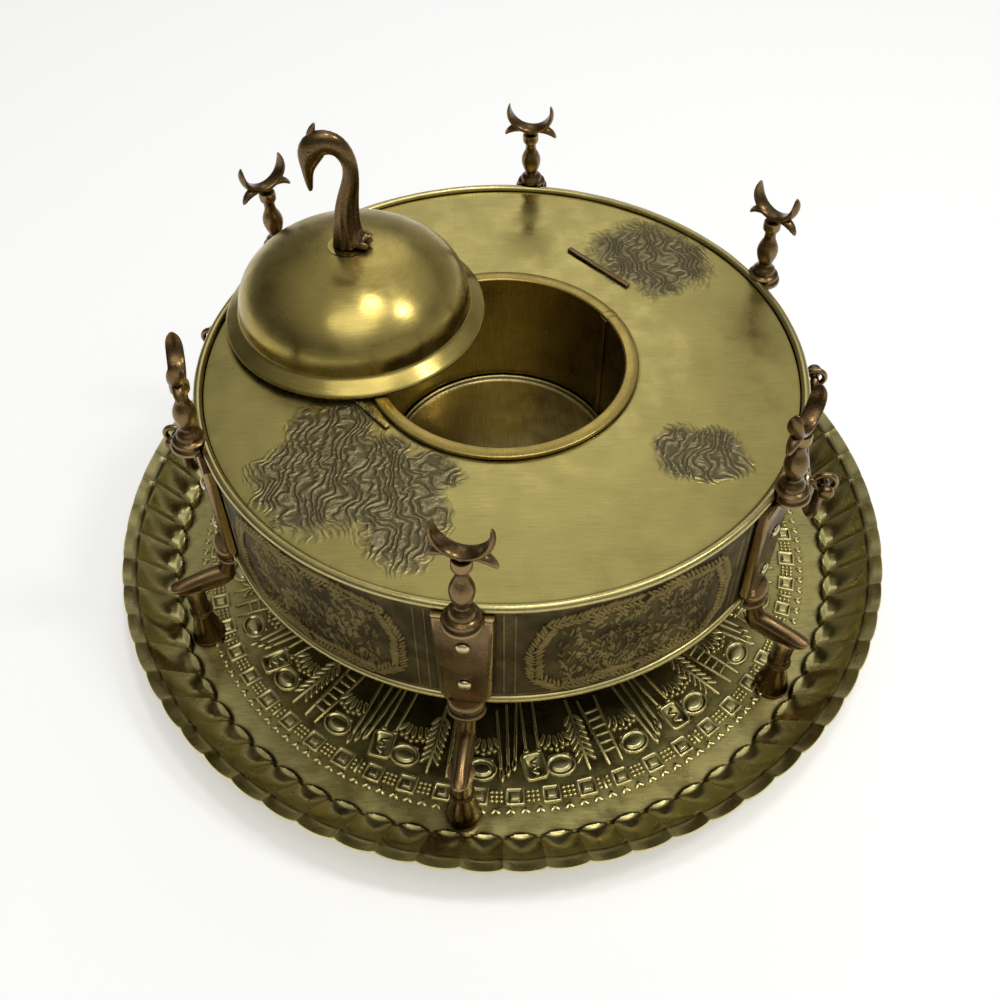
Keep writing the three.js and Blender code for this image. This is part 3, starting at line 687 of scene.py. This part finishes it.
pot = bmesh.new()
turned(pot, POT_WALL, 180)
corners = []
for middle, lengths in LAP_STRIPS:
    block = rotation(LAP) @ Matrix.Translation(middle) @ Matrix.Diagonal(lengths)
    corners += bmesh.ops.create_cube(pot, size=1, matrix=block)["verts"]
bmesh.ops.bevel(pot, geom=edges_of(corners), offset=0.25, segments=2, profile=0.5, affect="EDGES", material=-1)
crisp(pot, 35)
pot_brass = worn_metal("pot_brass", (0.018, 0.012, 0.002), (0.40, 0.29, 0.075), (0.55, 0.43, 0.15), 0.27,
                       stretch=(1, 1, 0.06), wear=0.0, hollow=0.004, dents=0.35)
piece(pot, "pot_sleeve", pot_brass, "fire_pot", ["pot_wall"])

dish = bmesh.new()
turned(dish, POT_FLOOR, 180)
crisp(dish, 60)
dish_brass = worn_metal("dish_brass", (0.02, 0.015, 0.005), (0.36, 0.29, 0.11), (0.58, 0.49, 0.24), 0.28,
                        stretch=(1, 0.05, 1), wear=0.0, hollow=0.003, dents=0.5)
piece(dish, "pot_dish", dish_brass, "fire_pot", ["pot_floor"])

# ---- Lid ------------------------------------------------------------------------------------
# A dome spun from one polished disc with a stepped foot and a flat flange, set down off the
# middle. A screw and a washer hold the cast handle on from inside.

LID = (-106.3, 50.6)
FOOT_Z, CROWN_Z, DOME_R = 208.9, 256.9, 83.2
FULL = 2.2                         # 2 would be an ellipse; more is fuller at the shoulder
HOLE_R, LID_SHEET = 4.3, 1.5


def dome_rows(off, count):
    """Rows of (radius, height) up the dome, this far inside its outer face."""
    high = CROWN_Z - FOOT_Z - off
    rows = [math.sin(math.pi / 2 * k / count) for k in range(count)]
    return [((DOME_R - off) * (1 - t ** FULL) ** (1 / FULL), FOOT_Z + high * t) for t in rows]


outside = [(93.4, 198.5), (94, 198.9), (94, 200), (93.5, 200.8), (92.4, 201.6), (85.4, 206.4), (84.4, 207),
           (83.9, 207.6), (83.4, 208.2)]
inside = [(12, CROWN_Z - LID_SHEET), *reversed(dome_rows(LID_SHEET, 22)), (83.8, 206.3), (90.6, 198.5),
          (93.4, 198.5)]
lid = bmesh.new()
turned(lid, [*outside, *dome_rows(0, 22), (14, CROWN_Z), (HOLE_R, CROWN_Z),
             (HOLE_R, CROWN_Z - LID_SHEET), *inside], 200)
crisp(lid, 32)
bmesh.ops.translate(lid, vec=(*LID, 0), verts=lid.verts)
lid_brass = worn_metal("lid_brass", (0.035, 0.024, 0.006), (0.44, 0.335, 0.09), (0.56, 0.45, 0.16), 0.23,
                       wear=0.0, hollow=0.003, dents=0.07, cloudy=0.84, about=(-0.1063, 0.0506))
piece(lid, "lid_dome_spun", lid_brass, "lid", ["lid_dome"])

bright_brass = worn_metal("bright_brass", (0.06, 0.045, 0.015), (0.56, 0.47, 0.21), (0.80, 0.71, 0.42),
                          0.24, wear=0.6, hollow=0.002, dents=0.3)
washer = bmesh.new()
turned(washer, [(HOLE_R, 253.5), (10.7, 253.5), (11, 253.8), (11, 254.8), (10.7, 255.1), (HOLE_R, 255.1),
                (HOLE_R, 253.5)], 40)
bmesh.ops.translate(washer, vec=(*LID, 0), verts=washer.verts)
crisp(washer, 30)
piece(washer, "lid_washer_disc", bright_brass, "lid", ["lid_washer"])
screw = bmesh.new()
turned(screw, [(0, 247.4), (4.6, 247.4), (6.4, 248.3), (7, 249.3), (7, 252.8), (6.6, 253.2), (3.9, 253.2),
               (3.9, 256.9), (0, 256.9)], 32)
bmesh.ops.translate(screw, vec=(*LID, 0), verts=screw.verts)
crisp(screw, 30)
piece(screw, "lid_screw_head", bright_brass, "lid", ["lid_screw"])

# ---- Swan handle ----------------------------------------------------------------------------
# A swan's neck cast in bronze, with a fluted, toed foot, a bent head, a small crest and a long
# beak that points down. It is rubbed bright where hands take hold of it.

NECK = [
    # forward, height, half depth, half breadth
    (-4.2, 0.4, 15.6, 8.8), (-3.2, 2.4, 14.6, 8.6), (-1.9, 5.4, 12.2, 8.2), (-1.1, 10, 10, 7.7),
    (-1, 18, 8.6, 7.2), (-2.1, 29.5, 8, 6.6), (-4.8, 41.5, 6.7, 6), (-7.9, 52.5, 5.5, 5.3),
    (-8.4, 63, 5.1, 4.9), (-5.7, 71.4, 5.9, 5.2), (-1.6, 77, 7.2, 5.6), (3.7, 79.2, 8.4, 6),
    (9.4, 79.6, 9, 6.6), (14.2, 76.6, 9.4, 7), (17.2, 70.6, 8.6, 6.6), (18.8, 64.5, 6.2, 5.2),
    (19.8, 59.4, 4.1, 3.9), (20.2, 53.5, 3.1, 3.3), (20, 47.5, 2.3, 2.7), (19.8, 43, 1.3, 1.9),
]
TUFT = [(-15.2, 81.5, 3.6, 1.8), (-14.6, 86, 3.0, 1.6), (-13, 90, 2.2, 1.2), (-11, 93.5, 0.7, 0.6)]
FLUTED_UP_TO = 48                  # the flutes fade out at this height on the neck


def swept(bm, stations, across, sides, trough=1.0):
    """Joins rings of (point, half size in the path's plane, half size across it) into one skin."""
    across = Vector(across)
    rings = []
    fresh = []
    for k, (point, a, b) in enumerate(stations):
        before, after = stations[max(k - 1, 0)][0], stations[min(k + 1, len(stations) - 1)][0]
        ahead = (Vector(after) - Vector(before)).normalized()
        inward = across.cross(ahead).normalized()
        frame_at = Matrix((inward * a, across * b, ahead)).transposed().to_4x4()
        frame_at.translation = Vector(point)
        made = bmesh.ops.create_circle(bm, radius=1, segments=sides)["verts"]
        for v in made:
            v.co.x *= trough if v.co.x > 0 else 1
        rings.append(edges_of(made))
        bmesh.ops.transform(bm, matrix=frame_at, verts=made)
        fresh += made
    for one, two in zip(rings, rings[1:]):
        bmesh.ops.bridge_loops(bm, edges=one + two)
    bmesh.ops.holes_fill(bm, edges=rings[0] + rings[-1], sides=0)
    skin = list(dict.fromkeys(f for v in fresh for f in v.link_faces))
    bmesh.ops.recalc_face_normals(bm, faces=skin)
    return fresh


swan = bmesh.new()
neck = swept(swan, [((-f, 0, CROWN_Z + h), a, b) for f, h, a, b in NECK], (0, 1, 0), 54)
for v in neck:
    up = v.co.z - CROWN_Z
    if up < FLUTED_UP_TO and v.co.x > -14:
        turn = math.atan2(v.co.y, v.co.x - 1)
        flute = 1 + 0.085 * math.cos(9 * turn) * min(1, (FLUTED_UP_TO - up) / 26)
        v.co.x, v.co.y = v.co.x * flute, v.co.y * flute
    v.co.z = max(v.co.z, CROWN_Z + 0.35)
swept(swan, [((x, 0, CROWN_Z + h), a, b) for x, h, a, b in TUFT], (0, 1, 0), 10)
for side in (-1, 1):
    eye = Matrix.Translation((-15.6, 6.4 * side, CROWN_Z + 75)) @ Matrix.Diagonal((2.1, 1.3, 2.1, 1))
    bmesh.ops.create_uvsphere(swan, u_segments=12, v_segments=8, radius=1, matrix=eye)
for side, out in ((-1, 9), (0, 11.5), (1, 9)):
    toe = Matrix.Translation((out, 5.6 * side, CROWN_Z + 3.6)) @ Matrix.Rotation(0.35 * side, 4, "Z")
    toe = toe @ Matrix.Diagonal((7, 3.1, 3.2, 1))
    bmesh.ops.create_uvsphere(swan, u_segments=14, v_segments=8, radius=1, matrix=toe)
bmesh.ops.translate(swan, vec=(*LID, 0), verts=swan.verts)


def rounded(made, levels):
    """A subdivision surface, the same in the view and in the render."""
    skin = made.modifiers.new("rounded", "SUBSURF")
    skin.levels = levels
    skin.render_levels = levels
    return made


rounded(piece(swan, "lid_swan_cast", bronze, "lid", ["lid_swan"]), 1)

# ---- Legs -----------------------------------------------------------------------------------
# Six bronze castings: a plate against the drum, a half-round collar under it, an arm that comes
# forward, and a turned foot that stands on the tray.

PLATE_OUTLINE = [(-18.6, 191.7), (-18.6, 177.7), (-16.6, 107.7), (-13, 98.7), (13, 98.7),
                 (16.6, 107.7), (18.6, 177.7), (18.6, 191.7)]
BACK, FRONT, FACE = 210.9, 213.9, 217.5
COLLAR_X, COLLAR_FLAT, FOOT_X = 215.4, 0.75, 247
COLLAR = [(0, 86.9), (12, 87.4), (12.9, 88.6), (13.2, 90), (12.6, 91.4), (11.2, 92.4), (11.6, 94.4),
          (12.4, 96.8), (12.2, 99), (11.4, 100.8), (10.2, 101.9), (0, 102.3)]
SHIN = [(17.4, 92.3, 4.6, 7), (18.4, 80, 5, 6.4), (21.9, 68, 7, 6.4), (25.9, 61, 4, 4.6)]
ARM = [(15.9, 68, 4, 4), (19, 67.4, 7.2, 6.2), (23, 66.8, 8.8, 7.1), (29, 66.2, 9.3, 7),
       (36, 65.7, 9.3, 6.8), (43, 65.3, 8.9, 6.5), (48.9, 65.3, 8.2, 6), (53.5, 66.2, 6.8, 6),
       (57.5, 67.3, 4.8, 5.4), (60.6, 68.5, 2.8, 4.4), (61.9, 69, 1.4, 2.8)]
FOOT = [(0, 1.8), (11.4, 1.8), (12.3, 2.5), (12.3, 4.2), (11.7, 5.2), (11, 9), (10.1, 14),
        (8.7, 20), (7.5, 26), (6.9, 31), (7.7, 32), (8.3, 33), (8.5, 34.2), (8.3, 35.5),
        (7.7, 36.3), (6.9, 37), (6.9, 44), (7.1, 52), (8, 59), (9, 64), (0, 65)]


def absorb(bm, part):
    """Moves a second mesh into the first."""
    mesh = bpy.data.meshes.new("part")
    part.to_mesh(mesh)
    part.free()
    bm.from_mesh(mesh)


def leg_casting(bm):
    """One leg facing +X: its plate, the collar cut off at the plate, shin, arm and foot."""
    outline = [bm.verts.new((BACK, y, z)) for y, z in PLATE_OUTLINE]
    face = bm.faces.new(outline)
    pulled = bmesh.ops.extrude_face_region(bm, geom=[face])["geom"]
    front = [g for g in pulled if isinstance(g, bmesh.types.BMVert)]
    bmesh.ops.translate(bm, vec=(FACE - BACK, 0, 0), verts=front)
    bmesh.ops.recalc_face_normals(bm, faces=bm.faces)
    edge = [e for e in bm.edges if all(v in front for v in e.verts)]
    bmesh.ops.bevel(bm, geom=edge, offset=3.2, segments=5, profile=0.5, affect="EDGES", material=-1)
    lower = bmesh.new()
    turned(lower, COLLAR, 40)
    bmesh.ops.scale(lower, vec=(COLLAR_FLAT, 1, 1), verts=lower.verts)
    bmesh.ops.translate(lower, vec=(COLLAR_X, 0, 0), verts=lower.verts)
    bmesh.ops.bisect_plane(lower, geom=lower.verts[:] + lower.edges[:] + lower.faces[:],
                           plane_co=(FRONT, 0, 0), plane_no=(-1, 0, 0), clear_outer=True)
    bmesh.ops.holes_fill(lower, edges=lower.edges, sides=0)
    swept(lower, [((200 + x, 0, z), a, b) for x, z, a, b in SHIN], (0, 1, 0), 20)
    swept(lower, [((200 + x, 0, z), a, b) for x, z, a, b in ARM], (0, 1, 0), 24)
    column = bmesh.new()
    turned(column, FOOT, 32)
    bmesh.ops.translate(column, vec=(FOOT_X, 0, 0), verts=column.verts)
    absorb(bm, lower)
    absorb(bm, column)


noise.seed_set(3)                  # without a seed, noise_vector takes one from the clock
for k, azimuth in enumerate(PANELS):
    leg = bmesh.new()
    leg_casting(leg)
    for v in leg.verts:
        v.co += 0.12 * noise.noise_vector(v.co * 0.16 + Vector((0, 0, 90 * k)))
    bmesh.ops.rotate(leg, matrix=Matrix.Rotation(math.radians(azimuth), 3, "Z"), verts=leg.verts)
    crisp(leg, 42)
    piece(leg, f"leg_cast_{k + 1}", bronze, "brazier", [f"leg_{k + 1}"])

# ---- Posts and crescents --------------------------------------------------------------------
# A turned bronze post stands on the rim over each leg, screwed in by hand, so each leans its own
# way. On top sits a crescent with two drooping leaves, loose enough to have turned a little.

POST_R, POST_BASE = 218.6, 192
# degrees: round the rim from the leg, leaning inwards, leaning sideways, and the crescent's turn
POST_SET = [(0.2, 4.9, 0.6, -7.5), (1.9, 3.3, 0.7, -1.3), (1, 1.5, 0.4, 16.5),
            (-0.5, 6.5, 1.2, -3.7), (-0.8, -0.6, 1.6, -12.4), (-2.6, 4.4, -2.7, -7.8)]
POST = [(0, 0), (12.3, 0), (12.8, 0.6), (12.8, 2.4), (12.2, 3.2), (11.2, 4.2), (11.2, 6.8),
        (10.6, 7.5), (8.4, 8.4), (8.2, 11.8), (6.8, 13.4), (5, 15), (4.6, 16.2), (5.2, 18.2),
        (6.3, 21), (7.3, 24.6), (7.8, 28), (7.4, 31.4), (6.2, 34.8), (5, 37.4), (4.2, 39.8),
        (4.1, 43), (4.6, 45.8), (5.9, 47), (6.3, 48.2), (6.3, 52.6), (5.8, 54), (0, 54.6)]


TROUGH = 0.45                      # the crescent's top side is this much of its full swell
RIM_GAP_X = 214.2                  # the posts' feet stay outside the rim


def post_place(k):
    """Where post k stands, and how it leans."""
    round_rim, inwards, sideways, _ = POST_SET[k]
    lean = rotation(-sideways, "X") @ rotation(-inwards, "Y")
    return rotation(PANELS[k] + round_rim) @ Matrix.Translation((POST_R, 0, POST_BASE)) @ lean


HORN_R, HORN_Z = 16.6, 76
LEAFLET = [(4, 58.8, 2.4, 4), (8, 59.6, 3.0, 4.3), (12, 59.3, 3.2, 4.3), (17.5, 56.6, 2.6, 3.4),
           (20.8, 51.6, 0.8, 1.2)]


def crescent(bm):
    """Two horns that thin to points, over two leaves and a flat knob."""
    arc = []
    for k in range(19):
        t = math.radians(-198 + 12 * k)
        u = abs(k / 9 - 1)
        thick = 3.5 * math.cos(math.pi / 2 * u ** 1.8) + 0.45
        wide = 4.8 * math.cos(math.pi / 2 * u ** 4) + 0.9
        arc.append(((0, HORN_R * math.cos(t), HORN_Z + HORN_R * math.sin(t)), thick, wide))
    swept(bm, arc, (1, 0, 0), 16, TROUGH)
    for side in (-1, 1):
        swept(bm, [((0, y * side, z), a, b) for y, z, a, b in LEAFLET], (1, 0, 0), 12)
    knob = Matrix.Translation((0, 0, 57.4)) @ Matrix.Diagonal((1, 1, 0.5, 1))
    bmesh.ops.create_uvsphere(bm, u_segments=16, v_segments=8, radius=5, matrix=knob)


for k in range(6):
    post = bmesh.new()
    turned(post, POST, 28)
    azimuth = PANELS[k] + POST_SET[k][0]
    moved(post, rotation(-azimuth) @ post_place(k))
    for v in post.verts:
        if v.co.z < 198.5 and v.co.x < RIM_GAP_X:
            v.co.x = RIM_GAP_X
        v.co.z = max(v.co.z, POST_BASE + 0.05)
    moved(post, rotation(azimuth))
    crisp(post, 38)
    piece(post, f"post_turned_{k + 1}", bronze, "brazier", [f"post_{k + 1}"])
    horns = bmesh.new()
    crescent(horns)
    moved(horns, post_place(k) @ rotation(POST_SET[k][3]))
    crisp(horns, 60)
    node = f"crescent_{k + 1}"
    rounded(piece(horns, f"crescent_cast_{k + 1}", bronze, "brazier", [node]), 1)

# ---- Rivets ---------------------------------------------------------------------------------
# Two brass rivets hold each leg on the drum. Their heads are struck round and rubbed bright, and
# the tails are peened over inside.

RIVET = [(0, 207.5), (3.6, 207.5), (3.6, 208.7), (2.2, 208.7), (2.2, 217.7), (4.3, 217.7),
         (4.5, 218.1), (4.3, 218.7), (3.7, 219.4), (2.8, 219.9), (1.6, 220.15), (0, 220.2)]
RIVET_HEIGHTS = (163.4, 122.2)
for k, azimuth in enumerate(PANELS):
    for j, height in enumerate(RIVET_HEIGHTS):
        rivet = bmesh.new()
        turned(rivet, RIVET, 20)
        moved(rivet, rotation(azimuth) @ Matrix.Translation((0, 0, height)) @ rotation(90, "Y"))
        for v in rivet.verts:
            v.co += 0.1 * noise.noise_vector(v.co * 0.4)
        crisp(rivet, 50)
        piece(rivet, f"rivet_struck_{k + 1}_{j + 1}", bright_brass, "brazier", [f"rivet_{k + 1}_{j + 1}"])

# ---- Drop handles ---------------------------------------------------------------------------
# On each side a cast bail hangs from two eyebolts. An eyebolt goes through the wall, with a brass
# collar outside and a nut inside, and the bail's ends are knobbed.

HANDLES = [("right", -7.45), ("left", 175.6)]
RING_X, SPREAD, EYE_Z, PIVOT_Z = 228, 52, 156, 154.8
RING_R, RING_WIRE = 7, 2.1
COLLAR_FROM, COLLAR_TO = 212.4, 217.3   # the brass collar on each eyebolt
BAIL = [(0, -51.8, 4.7), (12, -51.6, 4.7), (24, -51.3, 4.6), (32, -49.8, 4.5), (38, -47.5, 4.3),
        (42.2, -43.6, 4.2), (44.5, -39, 4.1), (45.4, -31, 3.9), (45.5, -24, 3.8), (45.5, -9, 3.6),
        (46, -5, 3.5), (47.6, -1.8, 3.4), (50, -0.4, 3.3), (52, 0, 3.2), (54.6, 0, 3.2),
        (56, 0, 3.6), (57.4, 0, 5.0), (58.6, 0, 5.5), (60.2, 0, 5.7), (61.8, 0, 5.4), (63, 0, 4.6),
        (64, 0, 2.8)]
EYE_SHANK = [(0, 194.4), (2.9, 194.4), (2.9, 205.6), (4.4, 205.6), (4.6, 206), (4.6, 213.6),
             (6, 213.8), (6.3, 214.6), (6.3, 215.6), (5.8, 216.4), (3.4, 217), (2.9, 218.4),
             (2.9, 221.6), (0, 222)]
NUT = [(3.2, 196), (5.0, 196), (5.6, 196.5), (5.6, 199.7), (5.0, 200.2), (3.2, 200.2), (3.2, 196)]


def eyebolt(bm, y):
    """A shank through the wall, with a ring that faces along the wall at its outer end."""
    turned(bm, EYE_SHANK, 24)
    moved(bm, Matrix.Translation((0, y, EYE_Z)) @ rotation(90, "Y"))
    ring = bmesh.new()
    wire_ring(ring, RING_R, RING_WIRE, 0, 12, 32)
    moved(ring, Matrix.Translation((RING_X, y, EYE_Z)) @ rotation(90, "X"))
    absorb(bm, ring)


for side, azimuth in HANDLES:
    about = Matrix.Rotation(math.radians(azimuth), 3, "Z")
    for j, y in enumerate((-SPREAD, SPREAD)):
        bolt = bmesh.new()
        eyebolt(bolt, y)
        for f in bolt.faces:
            f.material_index = COLLAR_FROM < f.calc_center_median().x < COLLAR_TO
        bmesh.ops.rotate(bolt, matrix=about, verts=bolt.verts)
        crisp(bolt, 40)
        which = f"{side}_{j + 1}"
        made = piece(bolt, f"eyebolt_{which}", bronze, "brazier", [f"eye_{which}"])
        made.data.materials.append(bright_brass)
        nut = bmesh.new()
        turned(nut, NUT, 6)
        moved(nut, Matrix.Translation((0, y, EYE_Z)) @ rotation(90, "Y"))
        bmesh.ops.rotate(nut, matrix=about, verts=nut.verts)
        crisp(nut, 25)
        piece(nut, f"eyebolt_nut_{which}", bright_brass, "brazier", [f"eye_nut_{which}"])
    bail = bmesh.new()
    right_half = [((RING_X, y, PIVOT_Z + z), a, a) for y, z, a in BAIL]
    left_half = [((RING_X, -y, PIVOT_Z + z), a, a) for y, z, a in reversed(BAIL[1:])]
    swept(bail, left_half + right_half, (1, 0, 0), 16)
    bmesh.ops.rotate(bail, matrix=about, verts=bail.verts)
    crisp(bail, 50)
    rounded(piece(bail, f"bail_{side}_cast", bronze, f"bail_{side}", [f"bail_{side}"]), 1)
